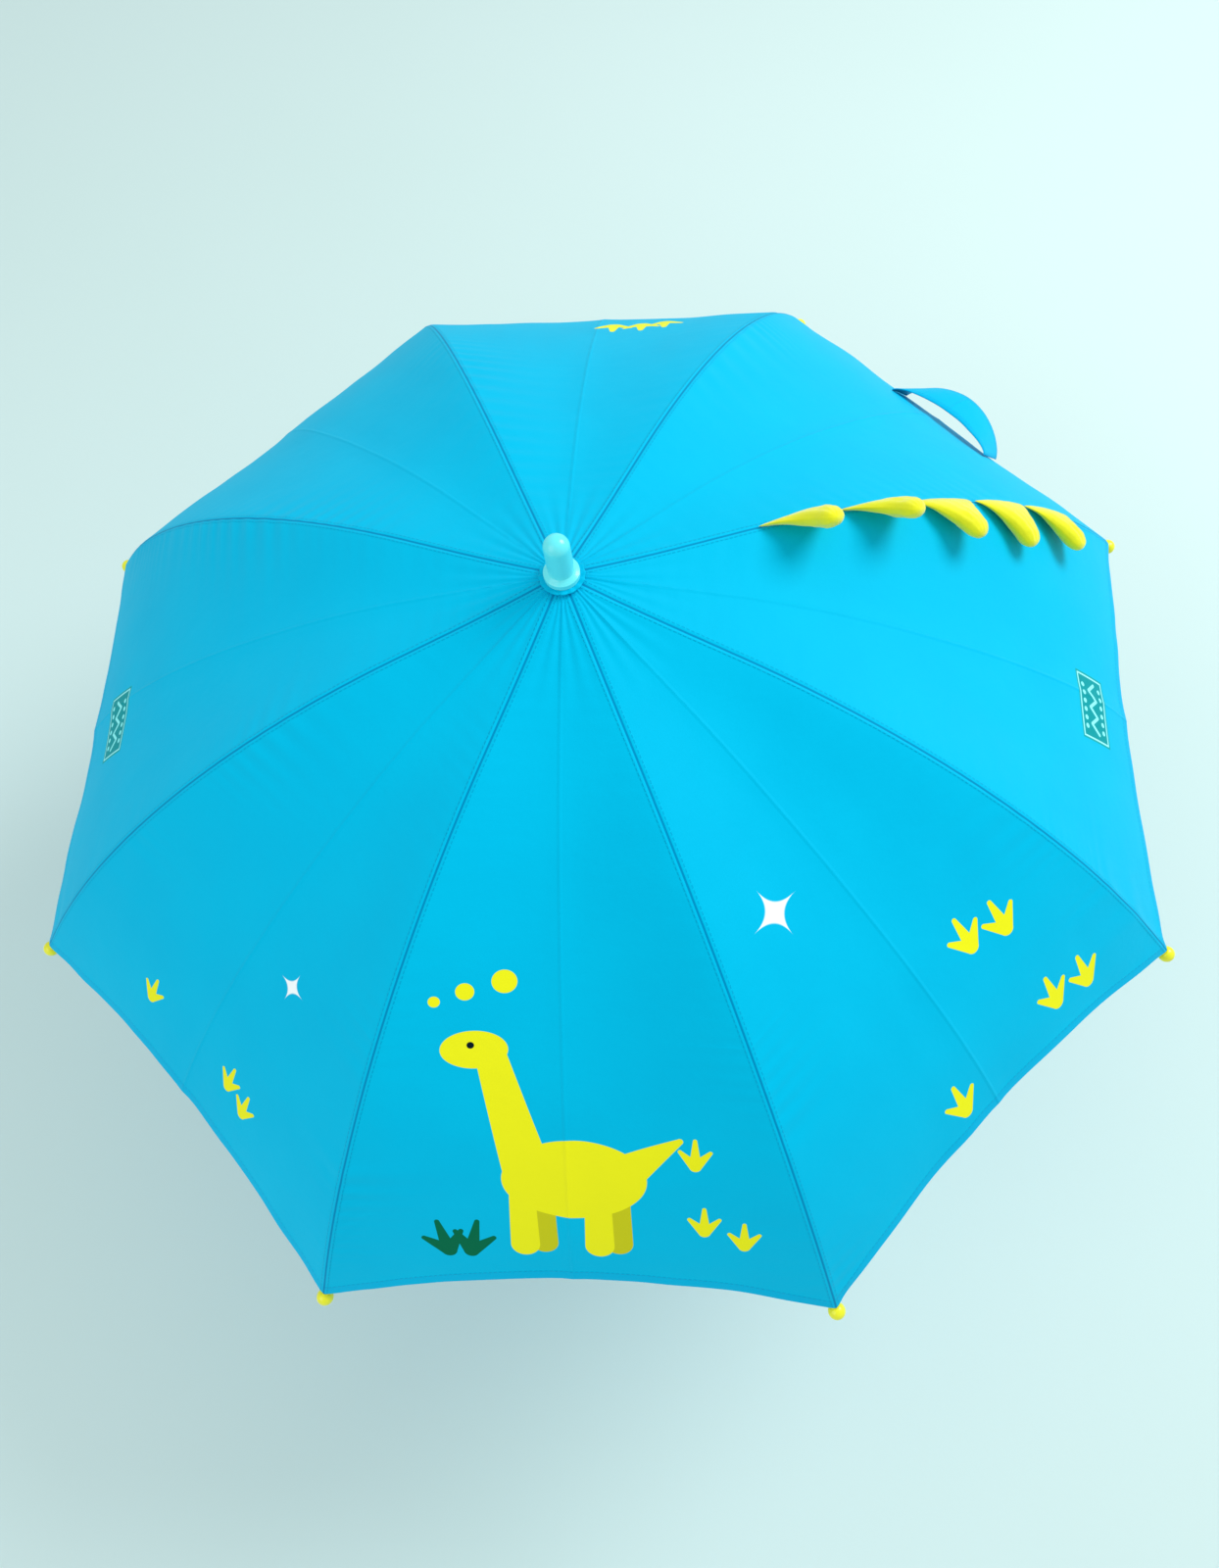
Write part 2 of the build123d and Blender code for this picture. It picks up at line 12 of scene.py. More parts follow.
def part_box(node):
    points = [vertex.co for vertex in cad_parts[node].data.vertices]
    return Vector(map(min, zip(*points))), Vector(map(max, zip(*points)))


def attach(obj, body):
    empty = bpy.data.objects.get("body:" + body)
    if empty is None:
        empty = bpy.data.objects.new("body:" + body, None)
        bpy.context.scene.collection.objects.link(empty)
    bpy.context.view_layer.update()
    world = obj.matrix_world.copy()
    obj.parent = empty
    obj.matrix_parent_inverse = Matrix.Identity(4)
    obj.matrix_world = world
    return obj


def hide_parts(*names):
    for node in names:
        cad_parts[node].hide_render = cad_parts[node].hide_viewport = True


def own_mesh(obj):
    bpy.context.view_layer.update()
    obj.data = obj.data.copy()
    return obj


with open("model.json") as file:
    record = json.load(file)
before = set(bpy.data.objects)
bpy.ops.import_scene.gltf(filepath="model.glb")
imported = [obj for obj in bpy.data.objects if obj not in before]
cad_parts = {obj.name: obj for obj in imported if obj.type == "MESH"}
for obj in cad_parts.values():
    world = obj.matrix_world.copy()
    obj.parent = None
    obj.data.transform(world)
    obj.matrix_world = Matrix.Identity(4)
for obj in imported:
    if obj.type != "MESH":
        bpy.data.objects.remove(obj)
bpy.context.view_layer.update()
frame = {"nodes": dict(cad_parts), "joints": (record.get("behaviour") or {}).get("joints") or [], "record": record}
nodes = frame["nodes"]
record = frame["record"]
joints = {j["name"]: j for j in frame["joints"]}
MM = 0.001

# The rib's line, from the frame's pivots: straight, then round, in each rib's upright plane.
# FLEX_AT is where the rib's outer length begins, on a hinge of its own.
RIBS = sum(n.startswith("tip_") for n in nodes)
PIVOT = joints["canopy_fold"]["pos_m"]
PIVOT_RADIUS = math.hypot(PIVOT[0], PIVOT[1])
PIVOT_HEIGHT = PIVOT[2]
CANOPY_RADIUS = PIVOT_RADIUS / 0.02
STRAIGHT = 0.25 * CANOPY_RADIUS
START_SLOPE, END_SLOPE = math.radians(10.5), math.radians(55.0)
BEND_RADIUS = (CANOPY_RADIUS - PIVOT_RADIUS - STRAIGHT * math.cos(START_SLOPE)) / (
    math.sin(END_SLOPE) - math.sin(START_SLOPE)
)
RIB_LENGTH = STRAIGHT + BEND_RADIUS * (END_SLOPE - START_SLOPE)
FLEX_AT = 0.68 * CANOPY_RADIUS
FIRST_AZIMUTH = math.atan2(PIVOT[1], PIVOT[0])
HALF = math.pi / RIBS
HEM_RISE = 0.03 * CANOPY_RADIUS
FABRIC_LIFT = 3.1 * MM
FABRIC = 0.35 * MM


# ---------------------------------------------------------------- shapes of the frame


def rib_line(s, lift=0.0):
    """(distance from the shaft, height) that far along a rib, lifted square to it."""
    s = np.asarray(s, float)
    slope = START_SLOPE + np.maximum(0, s - STRAIGHT) / BEND_RADIUS
    run = np.minimum(s, STRAIGHT)
    out = run * math.cos(START_SLOPE) + BEND_RADIUS * (np.sin(slope) - math.sin(START_SLOPE))
    down = run * math.sin(START_SLOPE) + BEND_RADIUS * (math.cos(START_SLOPE) - np.cos(slope))
    return PIVOT_RADIUS + out + lift * np.sin(slope), PIVOT_HEIGHT - down + lift * np.cos(slope)


def rib_slope(s):
    return START_SLOPE + np.maximum(0, np.asarray(s, float) - STRAIGHT) / BEND_RADIUS


def azimuth(rib):
    """The azimuth of rib 0, 1, 2 and so on. A half number is a panel's middle."""
    return FIRST_AZIMUTH + rib * 2 * HALF


def turned(angle, x, y, z):
    """Points given outward, along the hem and up, turned to an azimuth."""
    c, s = math.cos(angle), math.sin(angle)
    return np.stack([x * c - y * s, x * s + y * c, z], -1)


def cloth_lift(s):
    """How far the cloth's outer face lies above the rib's line: more over the notch."""
    return FABRIC_LIFT + 2.9 * MM * np.maximum(0, 1 - np.asarray(s, float) / (70 * MM)) ** 2


def new_object(name, verts, faces, material=None, smooth=True):
    mesh = bpy.data.meshes.new(name)
    mesh.from_pydata([tuple(v) for v in verts], [], [tuple(f) for f in faces])
    mesh.update()
    made = bpy.data.objects.new(name, mesh)
    bpy.context.scene.collection.objects.link(made)
    if smooth:
        mesh.shade_smooth()
    if material:
        mesh.materials.append(material)
    return made


# ---------------------------------------------------------------- materials


class Graph:
    """Short forms for building a material's nodes."""

    def __init__(self, name):
        self.material = bpy.data.materials.new(name)
        self.material.use_nodes = True
        self.tree = self.material.node_tree
        self.shader = self.tree.nodes["Principled BSDF"]

    def node(self, kind, values=None, **settings):
        made = self.tree.nodes.new("ShaderNode" + kind)
        for key, value in settings.items():
            setattr(made, key, value)
        for key, value in (values or {}).items():
            self.put(made.inputs[key], value)
        return made

    def put(self, socket, value):
        if isinstance(value, bpy.types.NodeSocket):
            self.tree.links.new(value, socket)
        else:
            socket.default_value = value

    def math(self, operation, a, b=0.0, c=0.0, clamp=False):
        made = self.node("Math", {0: a, 1: b, 2: c}, operation=operation, use_clamp=clamp)
        return made.outputs[0]

    def vector(self, operation, a, b=(0, 0, 0), scale=1.0):
        made = self.tree.nodes.new("ShaderNodeVectorMath")
        made.operation = operation
        self.put(made.inputs[0], a)
        self.put(made.inputs[3 if operation == "SCALE" else 1], scale if operation == "SCALE" else b)
        return made.outputs["Value" if operation in ("LENGTH", "DOT_PRODUCT") else 0]

    def mix(self, share, a, b):
        """Colour a, and b where share is 1."""
        made = self.node("Mix", {0: share, 6: a, 7: b}, data_type="RGBA")
        return made.outputs[2]

    def noise(self, vector, scale, detail=2.0, roughness=0.5):
        made = self.node(
            "TexNoise", {"Vector": vector, "Scale": scale, "Detail": detail, "Roughness": roughness}
        )
        return made.outputs["Fac"]

    def bump(self, height, distance, strength=1.0, under=None):
        values = {"Height": height, "Distance": distance, "Strength": strength}
        if under:
            values["Normal"] = under
        return self.node("Bump", values).outputs[0]

    def finish(self, **sockets):
        for key, value in sockets.items():
            self.put(self.shader.inputs[key.replace("_", " ")], value)
        return self.material


def rgb(red, green, blue):
    """A colour given as sRGB shares, as the linear colour that a shader takes."""
    return (*[c / 12.92 if c <= 0.04045 else ((c + 0.055) / 1.055) ** 2.4 for c in (red, green, blue)], 1)


class Ink(Graph):
    """Flat printed shapes on cloth, placed in millimetres on its panel: across it, and along it."""

    SOFT = 0.35

    def __init__(self, name):
        super().__init__(name)
        flat = self.node("UVMap", uv_map="cloth").outputs[0]
        self.at = self.vector("SCALE", flat, scale=1 / MM)

    def inside(self, distance):
        """1 where a distance is below 0, and a narrow ramp at the edge."""
        return self.math("MULTIPLY_ADD", distance, -1 / self.SOFT, 0.5, clamp=True)

    def oval(self, x, y, wide, tall, turn=0.0):
        here = self.vector("SUBTRACT", self.at, (x, y, 0))
        if turn:
            made = self.node("VectorRotate", {"Vector": here, "Angle": -math.radians(turn)})
            here = made.outputs[0]
        here = self.vector("DIVIDE", here, (wide / 2, tall / 2, 1))
        far = self.math("SUBTRACT", self.vector("LENGTH", here), 1.0)
        return self.inside(self.math("MULTIPLY", far, min(wide, tall) / 2))

    def box(self, x, y, wide, tall):
        here = self.vector("ABSOLUTE", self.vector("SUBTRACT", self.at, (x, y, 0)))
        parts = self.node("SeparateXYZ", {0: self.vector("SUBTRACT", here, (wide / 2, tall / 2, 0))})
        return self.inside(self.math("MAXIMUM", parts.outputs[0], parts.outputs[1]))

    def stroke(self, x0, y0, x1, y1, width, end_width=None):
        """A round-ended bar, which may taper."""
        along = Vector((x1 - x0, y1 - y0, 0))
        here = self.vector("SUBTRACT", self.at, (x0, y0, 0))
        dot = self.vector("DOT_PRODUCT", here, tuple(along))
        share = self.math("MULTIPLY", dot, 1 / along.length_squared, clamp=True)
        foot = self.vector("SCALE", tuple(along), scale=share)
        far = self.vector("LENGTH", self.vector("SUBTRACT", here, foot))
        taper = ((end_width or width) - width) / 2
        radius = self.math("MULTIPLY_ADD", share, taper, width / 2)
        return self.inside(self.math("SUBTRACT", far, radius))

    def star(self, x, y, reach, thin):
        """Four long points, from two crossed hollow diamonds."""
        here = self.vector("ABSOLUTE", self.vector("SUBTRACT", self.at, (x, y, 0)))
        parts = self.node("SeparateXYZ", {0: here})
        roots = [self.math("POWER", parts.outputs[i], 0.5) for i in (0, 1)]
        total = self.math("SUBTRACT", self.math("ADD", *roots), math.sqrt(reach))
        return self.inside(self.math("MULTIPLY", total, thin))

    def all_of(self, shapes):
        whole = shapes[0]
        for shape in shapes[1:]:
            whole = self.math("MAXIMUM", whole, shape)
        return whole

    def only_in(self, shape, within):
        return self.math("MULTIPLY", shape, within)


YELLOW = rgb(0.93, 0.93, 0.03)
DEEP_GREEN = rgb(0.0, 0.40, 0.25)
WHITE = rgb(0.96, 0.99, 0.99)
BLACK = rgb(0.02, 0.03, 0.08)


def print_star(ink, colour, x, y, reach):
    return ink.mix(ink.star(x, y, reach, 0.9), colour, WHITE)


def print_tuft(ink, colour, x, y, size, lean=0.0, shade=YELLOW):
    """Three blades of grass from one root, in panel millimetres, pointing up the panel."""
    blades = []
    for turn, length in ((-42, 0.75), (0, 1.0), (42, 0.75)):
        a = math.radians(turn + lean)
        end = (x + math.sin(a) * size * length, y - math.cos(a) * size * length)
        blades.append(ink.stroke(x, y, *end, size * 0.42, size * 0.14))
    return ink.mix(ink.all_of(blades), colour, shade)


def print_badge(ink, colour, x, y, wide, tall):
    """A plain bordered patch, with a zigzag between two rows of dots for its pattern."""
    colour = ink.mix(ink.box(x, y, wide, tall), colour, rgb(0.0, 0.62, 0.63))
    colour = ink.mix(ink.box(x, y, wide - 3, tall - 3), colour, rgb(0.62, 0.95, 0.95))
    colour = ink.mix(ink.box(x, y, wide - 5.5, tall - 5.5), colour, rgb(0.0, 0.58, 0.60))
    step = (wide - 14) / 6
    marks = []
    for i in range(6):
        low, high = (-1, 1) if i % 2 else (1, -1)
        left = x - step * 3 + step * i
        marks.append(ink.stroke(left, y + low * tall * 0.12, left + step, y + high * tall * 0.12, 2.4))
        marks.append(ink.oval(left + step / 2, y + tall * 0.30, 3.6, 3.6))
        marks.append(ink.oval(left + step / 2, y - tall * 0.30, 3.6, 3.6))
    return ink.mix(ink.all_of(marks), colour, rgb(0.55, 0.95, 0.95))


def print_animal(ink, colour, x, y):
    """A plain long-necked dinosaur on four legs, facing left, about its middle."""

    def bar(x0, y0, x1, y1, width, end=None):
        return ink.stroke(x + x0, y + y0, x + x1, y + y1, width, end)

    far_legs = [bar(-12, 46, -12, 82, 15, 17), bar(34, 46, 34, 82, 15, 17)]
    colour = ink.mix(ink.all_of(far_legs), colour, rgb(0.78, 0.78, 0.02))
    body = [
        ink.oval(x + 8, y + 34, 88, 56), bar(-20, 28, -38, -50, 30, 19), ink.oval(x - 48, y - 56, 40, 25),
        bar(36, 30, 72, 4, 28, 4), bar(-24, 46, -24, 84, 16, 18), bar(22, 46, 22, 84, 16, 18),
    ]
    colour = ink.mix(ink.all_of(body), colour, YELLOW)
    return ink.mix(ink.oval(x - 50, y - 59, 4.5, 4.5), colour, BLACK)


def print_tufts(ink, colour, places, size):
    for x, y in places:
        colour = print_tuft(ink, colour, x, y, size)
    return colour


def front_print(ink, colour):
    colour = print_tuft(ink, colour, -76, 440, 24, -14, DEEP_GREEN)
    colour = print_tuft(ink, colour, -62, 440, 24, 12, DEEP_GREEN)
    colour = print_tufts(ink, colour, ((77, 371), (82, 421), (106, 432)), 18)
    for x, y, size in ((-74, 262, 7), (-56, 256, 11), (-33, 250, 15)):
        colour = ink.mix(ink.oval(x, y, size, size), colour, YELLOW)
    return print_animal(ink, colour, -4, 350)


def right_print(ink, colour):
    colour = print_star(ink, colour, -44, 240, 18)
    return print_tufts(ink, colour, ((41, 354), (66, 362), (70, 437), (97, 444), (-22, 445)), 23)


def left_print(ink, colour):
    colour = print_star(ink, colour, 38, 314, 11)
    return print_tufts(ink, colour, ((-52, 420), (33, 417), (52, 424)), 17)


def back_print(ink, colour):
    return print_tufts(ink, colour, ((-52, 374), (-34, 370), (-12, 372)), 26)


def badge_print(across, along):
    def draw(ink, colour):
        return print_badge(ink, colour, across, along, 52, 34)

    return draw


HEM_WIDTH = 6.5
STITCH_PITCH = 3.2
THREAD_PITCH = 0.7


def cloth_material(name, draw=None):
    """Plain-woven polyester: threads, a faint dye mottle, doubled and stitched seams and hem, and painted shade
    along each seam.
    """
    ink = Ink(name)
    mottle = ink.noise(ink.at, 0.012, 3.0)
    colour = ink.mix(mottle, rgb(0.0, 0.70, 0.86), rgb(0.0, 0.74, 0.89))
    if draw:
        colour = draw(ink, colour)
    edge = ink.node("SeparateXYZ", {0: ink.node("UVMap", uv_map="edge").outputs[0]})
    seam = ink.math("MULTIPLY", edge.outputs[0], 1 / MM)
    hem = ink.math("MULTIPLY", edge.outputs[1], 1 / MM)
    threads = ink.node("SeparateXYZ", {0: ink.at})
    along = ink.math("SINE", ink.math("MULTIPLY", threads.outputs[1], math.tau / STITCH_PITCH))
    across = ink.math("SINE", ink.math("MULTIPLY", threads.outputs[0], math.tau / STITCH_PITCH))
    gap_hem = ink.inside(ink.math("SUBTRACT", across, 0.35))
    gap_seam = ink.inside(ink.math("SUBTRACT", along, 0.35))
    hem_row = ink.inside(ink.math("SUBTRACT", ink.math("ABSOLUTE", ink.math("SUBTRACT", hem, HEM_WIDTH)), 0.35))
    seam_row = ink.inside(ink.math("SUBTRACT", ink.math("ABSOLUTE", ink.math("SUBTRACT", seam, 2.6)), 0.3))
    stitches = ink.math("MAXIMUM", ink.only_in(hem_row, gap_hem), ink.only_in(seam_row, gap_seam))
    # Painted shade: a dark line along each seam, in its groove where shade falls.
    seam_groove_shade = ink.inside(ink.math("SUBTRACT", seam, 0.7))
    doubled = ink.inside(ink.math("SUBTRACT", hem, HEM_WIDTH))
    colour = ink.mix(ink.math("MULTIPLY", doubled, 0.35), colour, rgb(0.0, 0.66, 0.86))
    colour = ink.mix(ink.math("MULTIPLY", stitches, 0.6), colour, rgb(0.0, 0.60, 0.80))
    colour = ink.mix(ink.math("MULTIPLY", seam_groove_shade, 0.75), colour, rgb(0.0, 0.45, 0.66))
    weave = [
        ink.math("SINE", ink.math("MULTIPLY", threads.outputs[i], math.tau / THREAD_PITCH))
        for i in (0, 1)
    ]
    woven = ink.math("MULTIPLY", *weave)
    crumple = ink.noise(ink.at, 0.05, 4.0, 0.6)
    aside = ink.math("ABSOLUTE", threads.outputs[0])
    crease = ink.math("SUBTRACT", 1.0, ink.math("DIVIDE", aside, 1.8), clamp=True)
    past_fold = ink.math("DIVIDE", ink.math("SUBTRACT", seam, 2.0), 1.6)
    allowance = ink.math("SUBTRACT", 1.0, past_fold, clamp=True)
    normal = ink.bump(woven, 0.03 * MM, 0.35)
    normal = ink.bump(crumple, 1.2 * MM, 0.35, normal)
    normal = ink.bump(crease, 0.45 * MM, 0.8, normal)
    normal = ink.bump(allowance, 0.35 * MM, 0.9, normal)
    normal = ink.bump(stitches, 0.25 * MM, 0.8, normal)
    return ink.finish(
        Base_Color=colour,
        Roughness=0.62,
        Normal=normal,
        Sheen_Weight=0.06,
        Sheen_Roughness=0.4,
        Sheen_Tint=rgb(0.3, 0.9, 1.0),
        Specular_IOR_Level=0.18,
        Specular_Tint=rgb(0.3, 0.9, 1.0),
    )


def plush_material():
    """Short-piled knitted plush for the fins."""
    g = Graph("plush_yellow")
    where = g.node("TexCoord").outputs["Object"]
    shade = g.noise(where, 60.0, 3.0)
    pile = g.noise(where, 2200.0, 2.0, 0.7)
    knit = g.node("TexWave", {"Vector": where, "Scale": 420.0, "Distortion": 1.5}).outputs["Fac"]
    colour = g.mix(shade, rgb(0.86, 0.86, 0.02), rgb(0.96, 0.96, 0.04))
    normal = g.bump(pile, 0.5 * MM, 0.5)
    normal = g.bump(knit, 0.15 * MM, 0.4, normal)
    return g.finish(
        Base_Color=colour, Roughness=0.9, Normal=normal, Sheen_Weight=0.6, Sheen_Roughness=0.5,
        Specular_IOR_Level=0.2,
    )


def plastic_material(name, low, high, roughness, coat=0.0):
    """Moulded plastic: faint flow mottle, fine orange peel and uneven gloss."""
    g = Graph(name)
    where = g.node("TexCoord").outputs["Object"]
    flow = g.noise(where, 45.0, 2.0)
    peel = g.noise(where, 900.0, 2.0)
    gloss = g.math("MULTIPLY_ADD", g.noise(where, 160.0, 3.0), 0.12, roughness - 0.06)
    return g.finish(
        Base_Color=g.mix(flow, low, high), Roughness=gloss, Normal=g.bump(peel, 0.05 * MM, 0.25),
        Coat_Weight=coat, Coat_Roughness=0.15,
    )


def metal_material(name, colour, dark, roughness, grain):
    """Drawn and plated steel: fine lines along it, and dull patches."""
    g = Graph(name)
    where = g.node("TexCoord").outputs["Object"]
    stretched = g.vector("MULTIPLY", where, (1, 1, grain))
    lines = g.noise(stretched, 1500.0, 3.0)
    patches = g.noise(where, 70.0, 4.0)
    rough = g.math("MULTIPLY_ADD", patches, 0.2, roughness - 0.05)
    return g.finish(
        Base_Color=g.mix(patches, colour, dark), Roughness=rough, Metallic=1.0,
        Normal=g.bump(lines, 0.02 * MM, 0.3),
    )


SMOOTH_PLASTIC = plastic_material("ball_yellow", rgb(0.90, 0.90, 0.03), rgb(0.95, 0.95, 0.06), 0.32, 0.3)
AQUA_PLASTIC = plastic_material("aqua", rgb(0.35, 0.90, 0.93), rgb(0.42, 0.93, 0.95), 0.3, 0.3)
PALE_PLASTIC = plastic_material("pale", rgb(0.86, 0.88, 0.89), rgb(0.92, 0.93, 0.94), 0.45)
PLATED = metal_material("plated", rgb(0.80, 0.81, 0.83), rgb(0.68, 0.69, 0.71), 0.32, 0.15)
POLISHED = metal_material("polished", rgb(0.88, 0.89, 0.91), rgb(0.80, 0.81, 0.83), 0.2, 0.05)
PLUSH = plush_material()


def dress_cad_nodes():
    """Gives every carried-over CAD node the material of its slot."""
    by_slot = {
        "tip_plastic": SMOOTH_PLASTIC,
        "aqua_plastic": AQUA_PLASTIC,
        "mechanism_plastic": PALE_PLASTIC,
        "plated_steel": PLATED,
        "shaft_steel": POLISHED,
    }
    for entry in record["subparts"]:
        if entry["material_slot"] in by_slot:
            mesh = nodes[entry["node"]].data
            mesh.materials.clear()
            mesh.materials.append(by_slot[entry["material_slot"]])


# ---------------------------------------------------------------- the canopy

SAG = 11 * MM


def wander(seed, *where):
    """Repeatable smooth noise, from -1 to 1."""
    return noise.noise(Vector((*where, 0.0, 0.0)[:3]) + Vector((seed * 7.31, seed * 3.17, seed * 1.93)))


def hem_length(across):
    """The rib length at which the hem crosses, for a share of the panel's half width."""
    chord = CANOPY_RADIUS * math.cos(HALF)
    half_chord = CANOPY_RADIUS * math.sin(HALF)
    radius = (half_chord**2 + HEM_RISE**2) / (2 * HEM_RISE)
    low, high = FLEX_AT, RIB_LENGTH
    for _ in range(40):
        middle = (low + high) / 2
        x = float(rib_line(middle)[0]) * math.cos(HALF)
        y = across * x * math.tan(HALF)
        if x < chord - HEM_RISE + radius - math.sqrt(radius**2 - y**2):
            low = middle
        else:
            high = middle
    return low


HEM_TABLE = [hem_length(i / 64) for i in range(65)]


def hem_at(across):
    """hem_length, read from a table worked out once."""
    place = min(63.999, max(0.0, across * 64))
    low = int(place)
    return HEM_TABLE[low] + (HEM_TABLE[low + 1] - HEM_TABLE[low]) * (place - low)


def sag(s, across):
    """How far the pull between the ribs draws the cloth in, most in a panel's middle."""
    return -SAG * math.sin(math.pi * min(1, s / RIB_LENGTH)) ** 2 * (1 - across**2) ** 1.5


def cloth_height(rib, panel, s, across, y, from_seam, from_hem):
    """The drape over the plain panel: sag, creases, gathers, puckers, the seam and the hem."""
    length = s / RIB_LENGTH
    free = 1 - math.exp(-from_seam / (16 * MM))
    crease = 0.6 * MM * math.exp(-((y / (6 * MM)) ** 2)) * min(1, length * 2)
    pitch = 15 * MM * (1 + 0.25 * wander(rib, s * 9))
    ripple = 0.5 + 0.5 * math.sin(math.tau * s / pitch + rib * 2.1)
    strength = 0.12 + 1.5 * max(0, wander(2 * rib + panel + 20, s * 9)) * min(1, s / (110 * MM)) ** 2
    pucker = -2.2 * MM * ripple * min(1, strength) * math.exp(-from_seam / (21 * MM))
    pucker *= 1 - math.exp(-from_seam / (3.5 * MM))
    gather = max(0, 1 - s / (85 * MM))
    turn = y / max(s, 12 * MM)
    folds = 1.1 * MM * math.sin(turn * 34 + panel) * gather * free
    slack = 1.5 * MM * wander(panel + 40, y * 16, s * 5.5) * free * min(1, length * 2)
    fine = 0.5 * MM * wander(panel + 60, y * 42, s * 16) * free * min(1, length * 2)
    groove = -0.75 * MM * math.exp(-((from_seam / (1.5 * MM)) ** 2))
    fold = 0.125 * MM * (1 - math.tanh((from_hem - HEM_WIDTH * MM) / (1.0 * MM)))
    flare = 1.6 * MM * wander(panel + 80, y * 22, 0.3) * math.exp(-from_hem / (30 * MM)) * free
    return sag(s, across) + crease + pucker + folds + slack + fine + groove + fold + flare


def cloth_point(rib, side, panel, s, across):
    """(outer point, outward direction, across the panel, from the seam, from the hem)."""
    out, up = rib_line(s, cloth_lift(s))
    plain_out = float(rib_line(s)[0])
    x = float(out) * math.cos(HALF)
    y = side * across * float(out) * math.sin(HALF)
    from_seam = (1 - across) * plain_out * math.sin(HALF)
    from_hem = max(0.0, hem_at(across) - s)
    slope = float(rib_slope(s))
    panel_slope = math.atan2(math.tan(slope), math.cos(HALF))
    middle = azimuth(rib) - side * HALF
    flat = turned(middle, math.sin(panel_slope), 0.0, math.cos(panel_slope))
    ridge = turned(azimuth(rib), math.sin(slope), 0.0, math.cos(slope))
    share = math.exp(-((from_seam / (6 * MM)) ** 2))
    outward = flat * (1 - share) + ridge * share
    outward /= np.linalg.norm(outward)
    height = cloth_height(rib, panel, s, across, y, from_seam, from_hem)
    return turned(middle, x, y, float(up)) + outward * height, outward, y, from_seam, from_hem


def sheet_faces(steps, across, turn=1):
    """Faces of a closed thin sheet whose top and low points are two equal grids, one after the other.

    Also gives the points round its border, and the number of the first face of its rim.
    """
    wide = across + 1
    count = (steps + 1) * wide
    faces = []
    for i in range(steps):
        for j in range(across):
            a = i * wide + j
            quad = (a, a + 1, a + wide + 1, a + wide)
            faces.append(quad[::turn])
            faces.append(tuple(v + count for v in quad)[::-turn])
    border = [j for j in range(wide)]
    border += [i * wide + across for i in range(1, steps + 1)]
    border += [steps * wide + j for j in range(across - 1, -1, -1)]
    border += [i * wide for i in range(steps - 1, 0, -1)]
    rim_start = len(faces)
    for a, b in zip(border, border[1:] + border[:1]):
        faces.append((b, a, a + count, b + count)[::turn])
    return faces, border, rim_start


def lay_coordinates(mesh, flat, edge):
    """Panel coordinates, and the distances from the seam and the hem, for both faces of a sheet."""
    for title, values in (("cloth", flat), ("edge", edge)):
        layer = mesh.uv_layers.new(name=title)
        pairs = [values[loop.vertex_index % len(values)] for loop in mesh.loops]
        layer.data.foreach_set("uv", [c for pair in pairs for c in pair])


def cloth_piece(name, rib, side, outer, material, lining):
    """One half panel's inner or outer length: a closed thin sheet with its panel coordinates.

    side is 1 where the panel's middle lies at a lower azimuth than the rib, and -1 above it.
    """
    rows, columns = ((96, 34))
    if outer:
        rows = rows * 2 // 3
    panel = (rib - (1 if side > 0 else 0)) % RIBS
    top, low, flat, edge = [], [], [], []
    for i in range(rows + 1):
        for j in range(columns + 1):
            across = 1 - (j / columns) ** 1.5
            begin = FLEX_AT if outer else 0.5 * MM
            end = hem_at(across) if outer else FLEX_AT
            s = begin + (end - begin) * i / rows
            point, outward, y, from_seam, from_hem = cloth_point(rib, side, panel, s, across)
            top.append(point)
            low.append(point - outward * FABRIC)
            flat.append((y, s))
            edge.append((from_seam, from_hem))
    count = len(top)
    faces, border, rim_start = sheet_faces(rows, columns, side)
    made = new_object(name, top + low, faces, material)
    mesh = made.data
    mesh.materials.append(lining)
    for number in range(1, rim_start, 2):
        mesh.polygons[number].material_index = 1
    sharp = mesh.attributes.new("sharp_edge", "BOOLEAN", "EDGE")
    round_it = zip(border, border[1:] + border[:1])
    rim = {frozenset(e) for a, b in round_it for e in ((a, b), (a + count, b + count))}
    sharp.data.foreach_set("value", [frozenset(e.vertices) in rim for e in mesh.edges])
    lay_coordinates(mesh, flat, edge)
    area = sum(p.area for p in mesh.polygons[:rim_start]) / 2
    return made, area


def make_canopy():
    """Thirty-two lengths of cloth: two each side of each rib, on the rib and on its flexing end."""
    plain, lining = cloth_material("cloth_plain"), cloth_material("cloth_underside")
    prints = {
        0: cloth_material("cloth_front", front_print),
        1: cloth_material("cloth_right", right_print),
        2: cloth_material("cloth_badge_right", badge_print(-9, 411)),
        4: cloth_material("cloth_back", back_print),
        6: cloth_material("cloth_badge_left", badge_print(16, 404)),
        7: cloth_material("cloth_left", left_print),
    }
    for rib in range(RIBS):
        number = rib + 1
        for side, hand in ((1, "a"), (-1, "b")):
            panel = (rib - (1 if side > 0 else 0)) % RIBS
            for outer in (False, True):
                name = f"cloth_{number}{hand}_{'hem' if outer else 'crown'}"
                piece, area = cloth_piece(name, rib, side, outer, prints.get(panel, plain), lining)
                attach(piece, f"rib_end_{number}" if outer else f"rib_{number}")
                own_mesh(piece)
                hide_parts(f"canopy_{number}")


# ---------------------------------------------------------------- what is sewn to the canopy


# SPIKE_RIB counts from 0, so its bodies are rib_4 and rib_end_4
SPIKE_RIB = 3
SPIKE_STARTS = (0.285, 0.42, 0.555, 0.69, 0.815)
SPIKE_LEANS = (43, 48, 80, 92, 86)
SPIKE_LENGTH = 0.118 * CANOPY_RADIUS
SPIKE_HEIGHT = 39 * MM


